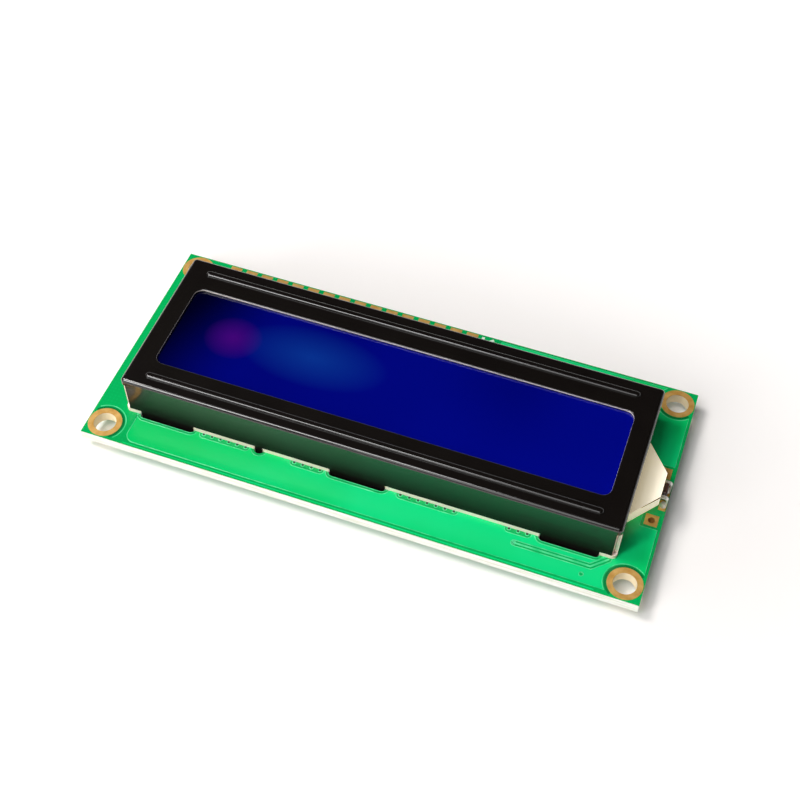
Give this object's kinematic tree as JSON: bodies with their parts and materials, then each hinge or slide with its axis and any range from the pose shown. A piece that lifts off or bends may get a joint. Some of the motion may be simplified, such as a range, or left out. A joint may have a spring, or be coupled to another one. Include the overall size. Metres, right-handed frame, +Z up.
{
  "type": "character lcd module",
  "caption": "Flat liquid-crystal character display module: green circuit board, black stamped metal bezel round a long blue window, white side-lit backlight horn, plated corner holes.",
  "frame": {"origin": "under the centre of the board, on the plane of the flats of the two rear epoxy covers", "axes": "+X along the long side towards the backlight horn, +Y towards the row of pin holes, +Z up out of the display"},
  "size_m": [0.08, 0.0362, 0.0104],
  "materials": {
    "board": "green solder mask over glass-epoxy laminate",
    "gold_plating": "gold-flashed copper",
    "white_moulding": "moulded, cream white",
    "white_film": "smooth white film",
    "acrylic": "polished clear acrylic",
    "lamp_resin": "cast resin",
    "tinned_metal": "tinned, bright",
    "elastomer": "layered silicone, matt",
    "polariser": "smooth blue film",
    "cell_glass": "cut float glass",
    "seal_epoxy": "cured adhesive",
    "crystal": "clear fluid",
    "black_paint": "gloss black paint on sheet steel",
    "silicon": "bare silicon",
    "black_epoxy": "poured epoxy, semi-gloss",
    "resistor_ceramic": "glazed ceramic, black",
    "capacitor_ceramic": "fired ceramic, tan"
  },
  "bodies": {
    "root": {"circuit_board": "board", "mounting_lands": "gold_plating", "header_lands": "gold_plating", "backlight_lands": "gold_plating", "led_lands": "gold_plating", "backlight_frame": "white_moulding", "reflector_film": "white_film", "light_guide": "acrylic", "guide_wrap": "white_film", "diffuser_film": "white_film", "led_lamp": "lamp_resin", "led_leads": "tinned_metal", "led_solder": "tinned_metal", "zebra_strip_front": "elastomer", "zebra_strip_back": "elastomer", "rear_polariser": "polariser", "rear_glass": "cell_glass", "cell_seal": "seal_epoxy", "liquid_crystal": "crystal", "front_glass": "cell_glass", "front_polariser": "polariser", "bezel": "black_paint", "controller_die": "silicon", "controller_blob": "black_epoxy", "driver_die": "silicon", "driver_blob": "black_epoxy", "resistor_bodies": "resistor_ceramic", "resistor_caps": "tinned_metal", "capacitor_bodies": "capacitor_ceramic", "capacitor_caps": "tinned_metal"}
  },
  "joints": []
}
